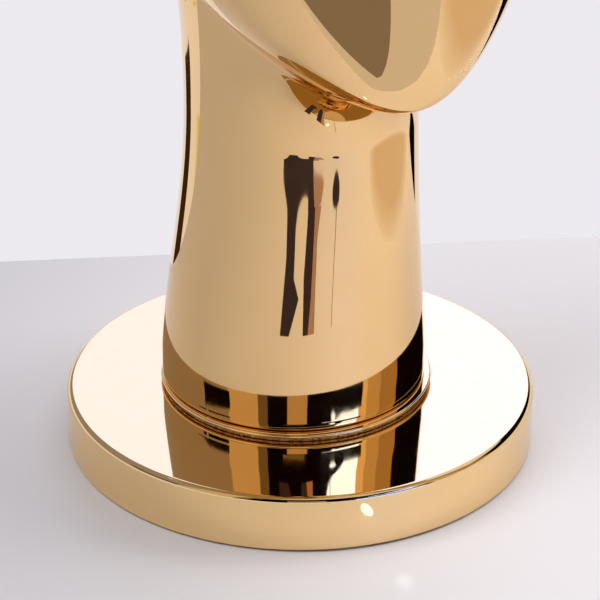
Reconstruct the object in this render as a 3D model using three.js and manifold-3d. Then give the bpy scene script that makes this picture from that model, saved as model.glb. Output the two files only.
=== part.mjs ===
import * as THREE from 'three';
import { mergeVertices } from 'three/addons/utils/BufferGeometryUtils.js';
import Module from 'manifold-3d';

const wasm = await Module();
wasm.setup();

// Display head without features, on a flared neck that turns on a round weighted base.
// Millimetres, +Z up, the face looks along -Y. The origin is the centre of the resting face.

// Fits
const seatGap = 0.3;
const overrun = 2;

// Base: a dished cover over a cast weight, closed by a plate with a soft pad under it
const baseRadius = 110;
const baseTop = 27.5;
const coverLift = 1;
const coverWall = 1.5;
const coverTopRound = 1.8;
const coverFootRound = 0.8;
const weightThickness = 10;
const weightEdgeRound = 2;
const weightWeb = 5.5;
const socketRoom = 5;
const bossRadius = 7;
const bossCircle = 78;
const bossCount = 4;
const plateThickness = 2;
const padThickness = 2;
const padMargin = 2.5;

// Countersunk screws of the bottom plate
const plateScrewRadius = 2;
const plateScrewHead = 4;
const plateScrewLength = 8;
const plateScrewSocket = 1.4;
const plateScrewSocketDepth = 1.2;

// Pivot: the neck stands behind the base's centre, on a flanged bush clamped by a ring nut
const neckSetback = 3.4;
const boltRadius = 5;
const bushWall = 3.7;
const bushFlangeRadius = 15;
const bushFlangeThickness = 2;
const ringNutRadius = 14;
const ringNutThickness = 4;
const thrustWasherRadius = 11;
const thrustWasherThickness = 1.6;
const springWasherRadius = 8.8;
const springWasherThickness = 2;
const springWasherSlot = 1.6;
const boltHeadRadius = 9.2;
const boltHeadThickness = 6;
const boltTipChamfer = 1;
const lockNutRadius = 9.8;
const lockNutThickness = 8;
const boltStickOut = 3;

// Hub in the neck: a flange with a threaded boss, screwed to a plywood plug
const hubFlangeRadius = 30;
const hubFlangeThickness = 3;
const hubBossWall = 4;
const plugThickness = 18;
const hubScrewCircle = 21;
const hubScrewCount = 4;
const hubScrewRadius = 1.9;
const hubScrewHead = 3.9;
const hubScrewLength = 16;
const hubScrewTip = 2.5;
const hubScrewSocket = 1.3;
const hubScrewSocketDepth = 1.1;
const filletHeight = 9;
const filletFoot = 8;
const filletLip = 1.6;

// Rings between the base and the neck
const glideRingRadius = 63;
const glideRingBore = 50;
const glideRingThickness = 1.2;
const neckRimRadius = 63.7;
const neckRimBore = 55;
const neckRimThickness = 1.8;
const neckRimRound = 0.6;

// Neck, heights above the base's top face
const neckFootRadius = 62.1;
const neckFootRound = 1.2;
const neckFootBack = 2.3;
const neckWaistRadius = 53.3;
const neckFlare = 10.2;
const neckFlareStart = -20;
const neckFlareRise = 165;
const neckFlareBlend = 0.2;
const neckLean = 5.7;
const neckLeanHeight = 150;
const napeFlare = 1.6;
const napeFlareStart = 150;
const napeFlareRise = 40;
const neckFadeStart = 215;
const neckFadeRise = 78;
const throatFlare = 21;
const throatFlareStart = 138;
const throatFlareRise = 40;
const throatFlareLimit = 1.15;
const throatNarrowness = 3;

// Head: an egg whose long axis runs from the chin up and back to the crown
const headCentreHeight = 256.9;
const headCentreForward = 41.4;
const headHalfWidth = 85.2;
const headHalfDepth = 82.5;
const headHalfLength = 100.1;
const headTilt = THREE.MathUtils.degToRad(29.9);
const widthSwellShare = 0.13;
const widthTaperShare = 0.12;
const depthSwellShare = 0.414;
const depthTaperShare = 0.3;
const chinJoin = 10;
const napeJoin = 36;
const joinTurnStart = 19;
const joinTurnWidth = 60;

// Mouldings: two skins bonded at a parting plane over an inner lap strip
const skinWall = 3;
const partingForward = 14;
const lapThickness = 2.5;
const bondLine = 0.6;
const lapHalfWidth = 8;

// Facets of the skins, finer outside than inside
const outside = { sectors: 40, neckRings: 12, headRings: 22 };
const inside = { sectors: 28, neckRings: 9, headRings: 14 };
const ringCrowding = 1.25;
const footRoundSteps = 2;
const creaseHeight = 189;
const ringTilt = THREE.MathUtils.degToRad(31);
const coreForward = 14;
const coreHeight = 250;
const rootSteps = 40;

// Facets of the turned pieces
const wideSides = 64;
const ringSides = 48;
const narrowSides = 20;
const screwSides = 10;
const hexSides = 6;
const roundSteps = 3;

const finishes = {
  gold_plate: { color: 0xe6ad62, roughness: 0.06, metalness: 1 },
  iron: { color: 0x3b3a39, roughness: 0.7, metalness: 0.6 },
  zinc_steel: { color: 0xb4b8ba, roughness: 0.35, metalness: 1 },
  nylon: { color: 0xe8e3d6, roughness: 0.5, metalness: 0 },
  fibre: { color: 0x7a4e2c, roughness: 0.85, metalness: 0 },
  plywood: { color: 0xc49a62, roughness: 0.75, metalness: 0 },
  resin: { color: 0x9c8a5a, roughness: 0.45, metalness: 0 },
  foam: { color: 0x1b1b1c, roughness: 0.95, metalness: 0 },
};

// Solids from closed geometry, with the faces turned outwards

function solid(geometry) {
  const bare = geometry.index ? geometry.toNonIndexed() : geometry.clone();
  bare.deleteAttribute('normal');
  bare.deleteAttribute('uv');
  const merged = mergeVertices(bare, seatGap / 1000);
  const points = merged.attributes.position.array;
  const corners = merged.index.array;
  const kept = [];
  for (let i = 0; i < corners.length; i += 3) {
    const [a, b, c] = [corners[i], corners[i + 1], corners[i + 2]];
    if (a !== b && b !== c && c !== a) kept.push(a, b, c);
  }
  const triVerts = Uint32Array.from(kept);
  if (signedVolume(points, triVerts) < 0) {
    for (let i = 0; i < triVerts.length; i += 3) {
      [triVerts[i + 1], triVerts[i + 2]] = [triVerts[i + 2], triVerts[i + 1]];
    }
  }
  const vertProperties = Float32Array.from(points);
  return new wasm.Manifold(new wasm.Mesh({ numProp: 3, vertProperties, triVerts }));
}

function signedVolume(points, corners) {
  const [a, b, c] = [new THREE.Vector3(), new THREE.Vector3(), new THREE.Vector3()];
  let sum = 0;
  for (let i = 0; i < corners.length; i += 3) {
    a.fromArray(points, corners[i] * 3);
    b.fromArray(points, corners[i + 1] * 3);
    c.fromArray(points, corners[i + 2] * 3);
    sum += a.dot(b.cross(c));
  }
  return sum;
}

function geometryOf(body) {
  const { vertProperties, triVerts } = body.getMesh();
  const geometry = new THREE.BufferGeometry();
  geometry.setAttribute('position', new THREE.BufferAttribute(vertProperties.slice(), 3));
  geometry.setIndex(new THREE.BufferAttribute(triVerts.slice(), 1));
  const flat = geometry.toNonIndexed();
  flat.computeVertexNormals();
  return flat;
}

// A profile of [radius, height] points turned about the vertical axis at (x, y)
function turned(profile, sides, x = 0, y = 0) {
  const points = profile.map(([radius, height]) => new THREE.Vector2(radius, height));
  const geometry = new THREE.LatheGeometry(points, sides);
  geometry.rotateX(Math.PI / 2);
  geometry.translate(x, y, 0);
  return solid(geometry);
}

function disc(radius, low, high, sides, x = 0, y = 0) {
  return turned([[0, low], [radius, low], [radius, high], [0, high]], sides, x, y);
}

function ring(bore, radius, low, high, sides) {
  const profile = [[bore, low], [radius, low], [radius, high], [bore, high], [bore, low]];
  return turned(profile, sides);
}

function box(low, high) {
  const size = new THREE.Vector3().subVectors(high, low);
  const centre = new THREE.Vector3().addVectors(low, high).multiplyScalar(0.5);
  const geometry = new THREE.BoxGeometry(size.x, size.y, size.z);
  geometry.translate(centre.x, centre.y, centre.z);
  return solid(geometry);
}

// Points of a round corner from one angle to another about its centre in the profile
function arc([radius, height], round, from, to, steps) {
  return Array.from({ length: steps + 1 }, (_, i) => {
    const angle = from + ((to - from) * i) / steps;
    return [radius + round * Math.cos(angle), height + round * Math.sin(angle)];
  });
}

function onCircle(count, radius, turn) {
  return Array.from({ length: count }, (_, i) => {
    const angle = turn + (2 * Math.PI * i) / count;
    return [radius * Math.cos(angle), radius * Math.sin(angle)];
  });
}

const union = (bodies) => bodies.reduce((sum, body) => sum.add(body));

// A countersunk screw that points up, its flat head at height low, or its hole where room is left
function countersunk(size, low, room, x, y) {
  const tipRadius = size.radius - size.tip * size.tipShare;
  return turned([
    [0, low - room],
    [size.head + room, low - room],
    [size.head + room, low],
    [size.radius + room, low + size.sink],
    [size.radius + room, low + size.length - size.tip + room],
    [tipRadius + room, low + size.length + room],
    [0, low + size.length + room],
  ], screwSides, x, y);
}

function driven(size, low, x, y) {
  const socket = disc(size.socket, low - overrun, low + size.socketDepth, hexSides, x, y);
  return countersunk(size, low, 0, x, y).subtract(socket);
}

const plateScrew = {
  radius: plateScrewRadius,
  head: plateScrewHead,
  sink: plateThickness,
  length: plateScrewLength,
  tip: plateScrewRadius / 2,
  tipShare: 0.5,
  socket: plateScrewSocket,
  socketDepth: plateScrewSocketDepth,
};

const hubScrew = {
  radius: hubScrewRadius,
  head: hubScrewHead,
  sink: hubFlangeThickness,
  length: hubScrewLength,
  tip: hubScrewTip,
  tipShare: 0.6,
  socket: hubScrewSocket,
  socketDepth: hubScrewSocketDepth,
};

// Heights in the base, from its top face down to the pad

const coverInside = baseTop - coverWall;
const weightTop = coverInside - seatGap;
const weightBottom = weightTop - weightThickness;
const weightRecess = weightTop - weightWeb;
const coverBore = baseRadius - coverWall;
const weightRadius = coverBore - seatGap;
const plateBottom = padThickness + seatGap;
const plateTop = plateBottom + plateThickness;
const plateRadius = coverBore - seatGap;
const padRadius = coverBore - padMargin;

const bushBore = boltRadius + seatGap;
const bushRadius = bushBore + bushWall;
const bushHole = bushRadius + seatGap;
const ringNutTop = weightRecess - seatGap;
const ringNutBottom = ringNutTop - ringNutThickness;
const bushBottom = ringNutBottom - seatGap;
const thrustTop = bushBottom - seatGap;
const thrustBottom = thrustTop - thrustWasherThickness;
const springTop = thrustBottom - seatGap;
const springBottom = springTop - springWasherThickness;
const boltHeadTop = springBottom - seatGap;

// Heights above the base's top face, in the neck

const bushFlangeTop = seatGap + bushFlangeThickness;
const hubBottom = bushFlangeTop + seatGap;
const plugBottom = hubBottom + hubFlangeThickness + seatGap;
const plugTop = plugBottom + plugThickness;
const hubBossTop = plugTop + seatGap;
const hubBossRadius = bushBore + hubBossWall;
const lockNutBottom = hubBossTop + seatGap;
const boltTip = lockNutBottom + lockNutThickness + boltStickOut;
const glideTop = seatGap + glideRingThickness;
const rimBottom = glideTop + seatGap;
const rimTop = rimBottom + neckRimThickness;
const neckFoot = rimTop + seatGap;
const filletBottom = plugTop + seatGap;
const filletTop = filletBottom + filletHeight;

// Skin surface: an egg and a flared neck that run into each other

function ease(share) {
  const t = THREE.MathUtils.clamp(share, 0, 1);
  return t * t * t * (t * (t * 6 - 15) + 10);
}

function neckForward(height) {
  return neckLean * ease(height / neckLeanHeight) - neckFootBack;
}

function neckRadius(height) {
  const nape = napeFlare * (Math.max(height - napeFlareStart, 0) / napeFlareRise) ** 2;
  const fade = neckWaistRadius * (Math.max(height - neckFadeStart, 0) / neckFadeRise) ** 2;
  const narrowed = THREE.MathUtils.smoothstep(height, neckFlareStart, neckFlareStart + neckFlareRise);
  const flared = neckWaistRadius + neckFlare * (1 - narrowed);
  const wall = (flared + neckFootRadius - Math.hypot(flared - neckFootRadius, neckFlareBlend)) / 2;
  return wall + nape - fade;
}

function eggDepth(p) {
  const forward = -p.y - headCentreForward;
  const up = p.z - headCentreHeight;
  const along = (up * Math.cos(headTilt) - forward * Math.sin(headTilt)) / headHalfLength;
  const across = up * Math.sin(headTilt) + forward * Math.cos(headTilt);
  const t = THREE.MathUtils.clamp(along, -1, 1);
  const width = headHalfWidth * (1 + widthSwellShare * t - widthTaperShare * t * t);
  const depth = headHalfDepth * (1 + depthSwellShare * t - depthTaperShare * t * t);
  const span = Math.hypot(along, p.x / width, across / depth);
  return (span * (span - 1)) / Math.hypot(along / headHalfLength, p.x / width ** 2, across / depth ** 2);
}

function neckDepth(p) {
  const ahead = -p.y - neckForward(p.z);
  const outward = Math.hypot(p.x, ahead);
  const facing = Math.max(ahead, 0) / Math.max(outward, seatGap);
  const rise = THREE.MathUtils.clamp((p.z - throatFlareStart) / throatFlareRise, 0, throatFlareLimit);
  return outward - neckRadius(p.z) - throatFlare * rise ** 2 * facing ** throatNarrowness;
}

// Roughly the distance outside the skin, negative inside
function skinDepth(p) {
  const egg = eggDepth(p);
  const neck = neckDepth(p);
  const back = ease((p.y + joinTurnStart) / joinTurnWidth);
  const join = THREE.MathUtils.lerp(chinJoin, napeJoin, back);
  const near = Math.max(join - Math.abs(egg - neck), 0) / join;
  return Math.min(egg, neck) - (near ** 3 * join) / 6;
}

function skinPoint(from, direction, depth) {
  const p = new THREE.Vector3();
  let near = 0;
  let far = headHalfWidth + headHalfDepth + headHalfLength;
  for (let i = 0; i < rootSteps; i += 1) {
    const middle = (near + far) / 2;
    p.copy(from).addScaledVector(direction, middle);
    if (skinDepth(p) < -depth) near = middle;
    else far = middle;
  }
  return p;
}

// A ring of skin points round the neck, in a plane tilted down to the front
function neckRing(height, tilt, depth, facets) {
  const centre = new THREE.Vector3(0, -neckForward(height), height);
  const front = new THREE.Vector3(0, -Math.cos(tilt), -Math.sin(tilt));
  const side = new THREE.Vector3(1, 0, 0);
  return Array.from({ length: facets.sectors }, (_, i) => {
    const turn = (2 * Math.PI * i) / facets.sectors;
    const direction = front.clone().multiplyScalar(Math.cos(turn));
    direction.addScaledVector(side, Math.sin(turn));
    return skinPoint(centre, direction, depth);
  });
}

function drawnIn(points, centre, inset) {
  return points.map((p) => {
    const out = new THREE.Vector3(p.x - centre.x, p.y - centre.y, 0);
    return p.clone().addScaledVector(out, -inset / out.length());
  });
}

function footRings() {
  const centre = new THREE.Vector3(0, -neckForward(neckFoot), neckFoot);
  return Array.from({ length: footRoundSteps }, (_, i) => {
    const angle = (Math.PI / 2) * (i / footRoundSteps);
    const height = neckFoot + neckFootRound * (1 - Math.cos(angle));
    return drawnIn(neckRing(height, 0, 0, outside), centre, neckFootRound * (1 - Math.sin(angle)));
  });
}

function wallRings(bottom, depth, facets) {
  return Array.from({ length: facets.neckRings + 1 }, (_, i) => {
    const share = i / facets.neckRings;
    const height = THREE.MathUtils.lerp(bottom, creaseHeight, share);
    return neckRing(height, ringTilt * ease(share), depth, facets);
  });
}

const core = new THREE.Vector3(0, -coreForward, coreHeight);
const crown = new THREE.Vector3(0, -Math.sin(ringTilt), Math.cos(ringTilt));

// Rings of the head, on rays from the core that swing from the crease up to the crown
function domeRings(depth, facets) {
  const crease = neckRing(creaseHeight, ringTilt, depth, facets);
  const rays = crease.map((p) => p.sub(core).normalize());
  return Array.from({ length: facets.headRings - 1 }, (_, row) => {
    const share = ((row + 1) / facets.headRings) ** ringCrowding;
    return rays.map((ray) => {
      const angle = ray.angleTo(crown);
      const direction = ray.clone().multiplyScalar(Math.sin((1 - share) * angle));
      direction.addScaledVector(crown, Math.sin(share * angle)).normalize();
      return skinPoint(core, direction, depth);
    });
  });
}

// A closed body of rings, from a flat foot to a pole
function stacked(rings, pole) {
  const sectors = rings[0].length;
  const foot = new THREE.Vector3();
  rings[0].forEach((p) => foot.addScaledVector(p, 1 / sectors));
  const points = [...rings.flat(), foot, pole];
  const footIndex = points.length - 2;
  const poleIndex = points.length - 1;
  const last = (rings.length - 1) * sectors;
  const corners = [];
  for (let i = 0; i < sectors; i += 1) {
    const next = (i + 1) % sectors;
    corners.push(footIndex, next, i);
    for (let low = 0; low < last; low += sectors) {
      const high = low + sectors;
      corners.push(low + i, low + next, high + next, low + i, high + next, high + i);
    }
    corners.push(last + i, last + next, poleIndex);
  }
  const geometry = new THREE.BufferGeometry();
  geometry.setFromPoints(points);
  geometry.setIndex(corners);
  return solid(geometry);
}

function outerBody() {
  const start = neckFoot + neckFootRound;
  const rings = [...footRings(), ...wallRings(start, 0, outside), ...domeRings(0, outside)];
  return stacked(rings, skinPoint(core, crown, 0));
}

// The space inside a skin of the given depth, open below the neck's foot
function innerBody(depth) {
  const start = neckFoot - overrun;
  const rings = [...wallRings(start, depth, inside), ...domeRings(depth, inside)];
  return stacked(rings, skinPoint(core, crown, depth));
}

// Slabs that cut the mouldings, wide enough for the whole head

const reach = 3 * (headHalfWidth + headHalfDepth + headHalfLength);

function slabY(front, back) {
  return box(new THREE.Vector3(-reach, front, -reach), new THREE.Vector3(reach, back, reach));
}

function slabZ(low, high) {
  return box(new THREE.Vector3(-reach, -reach, low), new THREE.Vector3(reach, reach, high));
}

// Base pieces

const rightAngle = Math.PI / 2;

function baseCover() {
  const topCorner = [baseRadius - coverTopRound, baseTop - coverTopRound];
  const footCorner = [baseRadius - coverFootRound, coverLift + coverFootRound];
  const profile = [
    [0, baseTop],
    ...arc(topCorner, coverTopRound, rightAngle, 0, roundSteps),
    ...arc(footCorner, coverFootRound, 0, -rightAngle, roundSteps),
    [coverBore, coverLift],
    [coverBore, coverInside],
    [0, coverInside],
  ];
  const hole = disc(bushHole, coverInside - overrun, baseTop + overrun, narrowSides, 0, neckSetback);
  return turned(profile, wideSides).subtract(hole);
}

const bossPlaces = onCircle(bossCount, bossCircle, Math.PI / bossCount);

function weightBoss([x, y]) {
  return disc(bossRadius, plateTop + seatGap, weightRecess, narrowSides, x, y);
}

function baseWeight() {
  const edgeCorner = [weightRadius - weightEdgeRound, weightBottom + weightEdgeRound];
  const plain = turned([
    [0, weightBottom],
    ...arc(edgeCorner, weightEdgeRound, -rightAngle, 0, 1),
    [weightRadius, weightTop],
    [0, weightTop],
  ], ringSides);
  const bosses = bossPlaces.map(weightBoss);
  const recessRadius = ringNutRadius + socketRoom;
  const cuts = bossPlaces.map(([x, y]) => countersunk(plateScrew, plateBottom, seatGap, x, y));
  cuts.push(disc(recessRadius, weightBottom - overrun, weightRecess, narrowSides, 0, neckSetback));
  cuts.push(disc(bushHole, weightBottom - overrun, weightTop + overrun, narrowSides, 0, neckSetback));
  return plain.add(union(bosses)).subtract(union(cuts));
}

function bottomPlate() {
  const holes = bossPlaces.map(([x, y]) => countersunk(plateScrew, plateBottom, seatGap, x, y));
  return disc(plateRadius, plateBottom, plateTop, wideSides).subtract(union(holes));
}

// Pivot pieces held by the base, about the neck's own axis

function pivotBush() {
  return turned([
    [bushBore, bushBottom],
    [bushRadius, bushBottom],
    [bushRadius, baseTop + seatGap],
    [bushFlangeRadius, baseTop + seatGap],
    [bushFlangeRadius, baseTop + bushFlangeTop],
    [bushBore, baseTop + bushFlangeTop],
    [bushBore, bushBottom],
  ], narrowSides);
}

function ringNut() {
  const blank = disc(ringNutRadius, ringNutBottom, ringNutTop, hexSides);
  return blank.subtract(disc(bushHole, ringNutBottom - overrun, ringNutTop + overrun, narrowSides));
}

function thrustWasher() {
  return ring(bushBore, thrustWasherRadius, thrustBottom, thrustTop, narrowSides);
}

function glideRing() {
  return ring(glideRingBore, glideRingRadius, baseTop + seatGap, baseTop + glideTop, ringSides);
}

// Pivot pieces that turn with the neck

function pivotBolt() {
  const boltHeadBottom = boltHeadTop - boltHeadThickness;
  const tip = baseTop + boltTip;
  const head = disc(boltHeadRadius, boltHeadBottom, boltHeadTop, hexSides);
  const shank = turned([
    [0, boltHeadTop - boltHeadThickness / 2],
    [boltRadius, boltHeadTop - boltHeadThickness / 2],
    [boltRadius, tip - boltTipChamfer],
    [boltRadius - boltTipChamfer, tip],
    [0, tip],
  ], narrowSides);
  return head.add(shank);
}

function springWasher() {
  const whole = ring(bushBore, springWasherRadius, springBottom, springTop, narrowSides);
  const half = springWasherSlot / 2;
  const low = new THREE.Vector3(0, -half, springBottom - overrun);
  const high = new THREE.Vector3(springWasherRadius + overrun, half, springTop + overrun);
  return whole.subtract(box(low, high));
}

function hubFlange() {
  const top = hubBottom + hubFlangeThickness;
  const blank = turned([
    [bushBore, hubBottom],
    [hubFlangeRadius, hubBottom],
    [hubFlangeRadius, top],
    [hubBossRadius, top],
    [hubBossRadius, hubBossTop],
    [bushBore, hubBossTop],
    [bushBore, hubBottom],
  ], narrowSides);
  return blank.subtract(union(hubScrewRoom()));
}

const hubScrewPlaces = onCircle(hubScrewCount, hubScrewCircle, Math.PI / hubScrewCount);

function hubScrewRoom() {
  return hubScrewPlaces.map(([x, y]) => countersunk(hubScrew, hubBottom, seatGap, x, y));
}

function neckPlug() {
  const bore = disc(hubBossRadius + seatGap, plugBottom - overrun, plugTop + overrun, narrowSides);
  const blank = innerBody(skinWall + seatGap).intersect(slabZ(plugBottom, plugTop));
  return blank.subtract(union([bore, ...hubScrewRoom()]));
}

function resinFillet() {
  const wall = neckRadius(filletBottom) - skinWall - seatGap;
  const hollow = turned([
    [0, filletBottom - overrun],
    [wall - filletFoot, filletBottom - overrun],
    [wall - filletFoot, filletBottom],
    [wall - (filletFoot + filletLip) / 2, (filletBottom + filletTop) / 2 - filletLip],
    [wall - filletLip, filletTop],
    [wall - filletLip, filletTop + overrun],
    [0, filletTop + overrun],
  ], inside.sectors, 0, -neckForward(filletBottom));
  return innerBody(skinWall + seatGap).intersect(slabZ(filletBottom, filletTop)).subtract(hollow);
}

function lockNut() {
  const top = lockNutBottom + lockNutThickness;
  const blank = disc(lockNutRadius, lockNutBottom, top, hexSides);
  return blank.subtract(disc(bushBore, lockNutBottom - overrun, top + overrun, narrowSides));
}

function neckRim() {
  const edge = neckRimRadius - neckRimRound;
  return turned([
    [neckRimBore, rimBottom],
    [edge, rimBottom],
    [neckRimRadius, rimBottom + neckRimRound],
    [neckRimRadius, rimTop - neckRimRound],
    [edge, rimTop],
    [neckRimBore, rimTop],
    [neckRimBore, rimBottom],
  ], ringSides);
}

// Mouldings of the head and neck

const skin = outerBody().subtract(innerBody(skinWall));

function frontShell() {
  return skin.intersect(slabY(-reach, -partingForward - seatGap / 2));
}

function rearShell() {
  return skin.intersect(slabY(-partingForward + seatGap / 2, reach));
}

function seamLapStrip() {
  const depth = skinWall + bondLine;
  const liner = innerBody(depth).subtract(innerBody(depth + lapThickness));
  const band = liner.intersect(slabY(-partingForward - lapHalfWidth, -partingForward + lapHalfWidth));
  return band.intersect(slabZ(filletTop + seatGap, reach));
}

// The assembled object

function piece(name, finish, body) {
  const mesh = new THREE.Mesh(geometryOf(body), new THREE.MeshStandardMaterial(finishes[finish]));
  mesh.name = name;
  return mesh;
}

const base = new THREE.Group();
base.add(piece('base_cover', 'gold_plate', baseCover()));
base.add(piece('base_weight', 'iron', baseWeight()));
base.add(piece('base_bottom_plate', 'zinc_steel', bottomPlate()));
bossPlaces.forEach(([x, y], i) => {
  const screw = driven(plateScrew, plateBottom, x, y);
  base.add(piece(`bottom_plate_screw_${i + 1}`, 'zinc_steel', screw));
});
base.add(piece('base_pad', 'foam', disc(padRadius, 0, padThickness, wideSides)));

const pivot = new THREE.Group();
pivot.position.set(0, neckSetback, 0);
pivot.add(piece('pivot_bush', 'nylon', pivotBush()));
pivot.add(piece('bush_ring_nut', 'zinc_steel', ringNut()));
pivot.add(piece('thrust_washer', 'nylon', thrustWasher()));
pivot.add(piece('glide_ring', 'fibre', glideRing()));
pivot.add(piece('pivot_bolt', 'zinc_steel', pivotBolt()));
pivot.add(piece('spring_washer', 'zinc_steel', springWasher()));

const head = new THREE.Group();
head.position.set(0, neckSetback, baseTop);
head.add(piece('hub_flange', 'zinc_steel', hubFlange()));
hubScrewPlaces.forEach(([x, y], i) => {
  head.add(piece(`hub_screw_${i + 1}`, 'zinc_steel', driven(hubScrew, hubBottom, x, y)));
});
head.add(piece('lock_nut', 'zinc_steel', lockNut()));
head.add(piece('neck_plug', 'plywood', neckPlug()));
head.add(piece('resin_fillet', 'resin', resinFillet()));
head.add(piece('neck_rim', 'gold_plate', neckRim()));
head.add(piece('head_front_shell', 'gold_plate', frontShell()));
head.add(piece('head_rear_shell', 'gold_plate', rearShell()));
head.add(piece('seam_lap_strip', 'resin', seamLapStrip()));

const displayHead = new THREE.Group();
displayHead.add(base, pivot, head);

export default displayHead;
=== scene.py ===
# Display head without features, gold plated, that turns on a round weighted base.
# Metres, +Z up, the face looks along -Y, as in the frame.

import math

import bmesh
import bpy
import numpy as np
from mathutils import Matrix, Vector

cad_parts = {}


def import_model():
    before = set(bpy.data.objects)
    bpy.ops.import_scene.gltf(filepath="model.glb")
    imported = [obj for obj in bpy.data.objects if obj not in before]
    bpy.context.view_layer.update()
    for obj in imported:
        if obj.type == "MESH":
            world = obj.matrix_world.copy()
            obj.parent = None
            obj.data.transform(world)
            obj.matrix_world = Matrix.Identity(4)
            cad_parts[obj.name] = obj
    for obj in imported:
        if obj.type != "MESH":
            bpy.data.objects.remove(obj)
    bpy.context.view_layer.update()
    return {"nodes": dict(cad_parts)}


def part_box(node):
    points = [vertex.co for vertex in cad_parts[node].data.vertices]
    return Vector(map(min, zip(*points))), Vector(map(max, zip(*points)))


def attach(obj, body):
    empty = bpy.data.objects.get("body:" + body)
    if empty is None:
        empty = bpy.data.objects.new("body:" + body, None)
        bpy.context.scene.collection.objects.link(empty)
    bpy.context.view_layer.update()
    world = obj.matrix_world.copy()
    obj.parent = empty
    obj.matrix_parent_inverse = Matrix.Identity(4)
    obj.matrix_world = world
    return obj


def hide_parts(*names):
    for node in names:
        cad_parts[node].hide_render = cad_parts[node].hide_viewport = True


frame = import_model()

MM = 0.001
QUARTER = math.pi / 2

# Places taken from the frame
COVER_LOW, COVER_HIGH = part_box("base_cover")
PAD_LOW, PAD_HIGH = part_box("base_pad")
GLIDE_LOW, GLIDE_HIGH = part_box("glide_ring")
RIM_LOW, RIM_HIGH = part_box("neck_rim")
FRONT_LOW, FRONT_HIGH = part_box("head_front_shell")
REAR_LOW, REAR_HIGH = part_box("head_rear_shell")
BASE_RADIUS = COVER_HIGH.x
BASE_TOP = COVER_HIGH.z
PIVOT_Y = (RIM_LOW.y + RIM_HIGH.y) / 2
NECK_FOOT = REAR_LOW.z - BASE_TOP
PARTING_Y = (FRONT_HIGH.y + REAR_LOW.y) / 2 - PIVOT_Y

# Base cover, pressed from sheet, with a rolled top edge and a trimmed foot
COVER_WALL = 1.5 * MM
COVER_TOP_ROUND = 3 * MM
COVER_FOOT_ROUND = 0.7 * MM
BUSH_HOLE = 9.3 * MM
BUSH_HOLE_SPREAD = 40 * MM
MERGE_REACH = 0.001 * MM

# Rings under the neck
RIM_BORE = 55 * MM
RIM_ROUND = 0.85 * MM
GLIDE_BORE = 50 * MM
GLIDE_ROUND = 0.25 * MM
GLIDE_RAGGEDNESS = 0.75 * MM
GLIDE_TUFT = 1.8 * MM
GLIDE_ROUND_STEPS = 3
GLIDE_WALL_STEPS = 6
PAD_ROUND = 0.6 * MM
PAD_ROUND_STEPS = 4

# Neck, heights above the base's top face
NECK_FOOT_RADIUS = 62.1 * MM
NECK_FOOT_ROUND = 1.2 * MM
NECK_FOOT_BACK = 2.3 * MM
NECK_WAIST_RADIUS = 53.3 * MM
NECK_FLARE = 10.2 * MM
NECK_FLARE_START = -20 * MM
NECK_FLARE_RISE = 165 * MM
NECK_FLARE_BLEND = 0.2 * MM
NECK_LEAN = 5.7 * MM
NECK_LEAN_HEIGHT = 150 * MM
NAPE_FLARE = 1.6 * MM
NAPE_FLARE_START = 150 * MM
NAPE_FLARE_RISE = 40 * MM
NECK_FADE_START = 215 * MM
NECK_FADE_RISE = 78 * MM
THROAT_FLARE = 21 * MM
THROAT_FLARE_START = 138 * MM
THROAT_FLARE_RISE = 40 * MM
THROAT_FLARE_LIMIT = 1.15
THROAT_NARROWNESS = 3

# Head, an egg whose long axis runs from the chin up and back to the crown
HEAD_HEIGHT = 256.9 * MM
HEAD_FORWARD = 41.4 * MM
HEAD_HALF_WIDTH = 85.2 * MM
HEAD_HALF_DEPTH = 82.5 * MM
HEAD_HALF_LENGTH = 100.1 * MM
HEAD_TILT = math.radians(29.9)
WIDTH_SWELL_SHARE = 0.13
WIDTH_TAPER_SHARE = 0.12
DEPTH_SWELL_SHARE = 0.414
DEPTH_TAPER_SHARE = 0.3
CHIN_JOIN = 10 * MM
NAPE_JOIN = 36 * MM
JOIN_TURN_START = 19 * MM
JOIN_TURN_WIDTH = 60 * MM
SKIN_WALL = 3 * MM
SKIN_ALLOWANCE = 0.2 * MM
SLOPE_STEP = 0.01 * MM
CUT_REACH = 1e-7
FOOT_REACH = 1.05

# Rings of the skin's mesh, closest together at the crease between jaw and neck
SECTORS = 288
WALL_RINGS = 96
DOME_RINGS = 150
INNER_WALL_RINGS = 12
INNER_DOME_RINGS = 24
FOOT_ROUND_STEPS = 6
CREASE_CROWDING = 1.7
CREASE_HEIGHT = 189 * MM
RING_TILT = math.radians(31)
CORE_FORWARD = 14 * MM
CORE_HEIGHT = 250 * MM
ROOT_STEPS = 40

# Turned pieces
BASE_SIDES = 256
GLIDE_SIDES = 3 * BASE_SIDES
ROUND_STEPS = 10
SHARP_ANGLE = math.radians(35)

# The camera looks down on the centre of the base's top face
VIEW_AZIMUTH = math.radians(-35)
VIEW_ELEVATION = math.radians(29.28)
VIEW_DISTANCE = 1419 * MM
VIEW_ROLL = math.radians(0.23)
PHOTO_SIDE = 600
PHOTO_FOCUS = 3000
PHOTO_BASE_CENTRE = (300.4, 377.6)
SENSOR_WIDTH = 36


def linear(code):
    """The linear colour of an sRGB hex code."""
    parts = [int(code[i:i + 2], 16) / 255 for i in (1, 3, 5)]
    return [p / 12.92 if p <= 0.04045 else ((p + 0.055) / 1.055) ** 2.4 for p in parts] + [1.0]


def node(tree, kind, settings=None, links=None):
    """Adds a node. A setting is an attribute's or an input's name, and a link joins an input to an output."""
    made = tree.nodes.new(kind)
    for name, value in (settings or {}).items():
        if isinstance(name, str) and hasattr(made, name):
            setattr(made, name, value)
        else:
            made.inputs[name].default_value = value
    for name, source in (links or {}).items():
        tree.links.new(source, made.inputs[name])
    return made


# Materials. A pattern's scale is one over its size in metres.

# The span that most of a noise's values lie in
NOISE_SPAN = {"From Min": 0.3, "From Max": 0.7}

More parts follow.
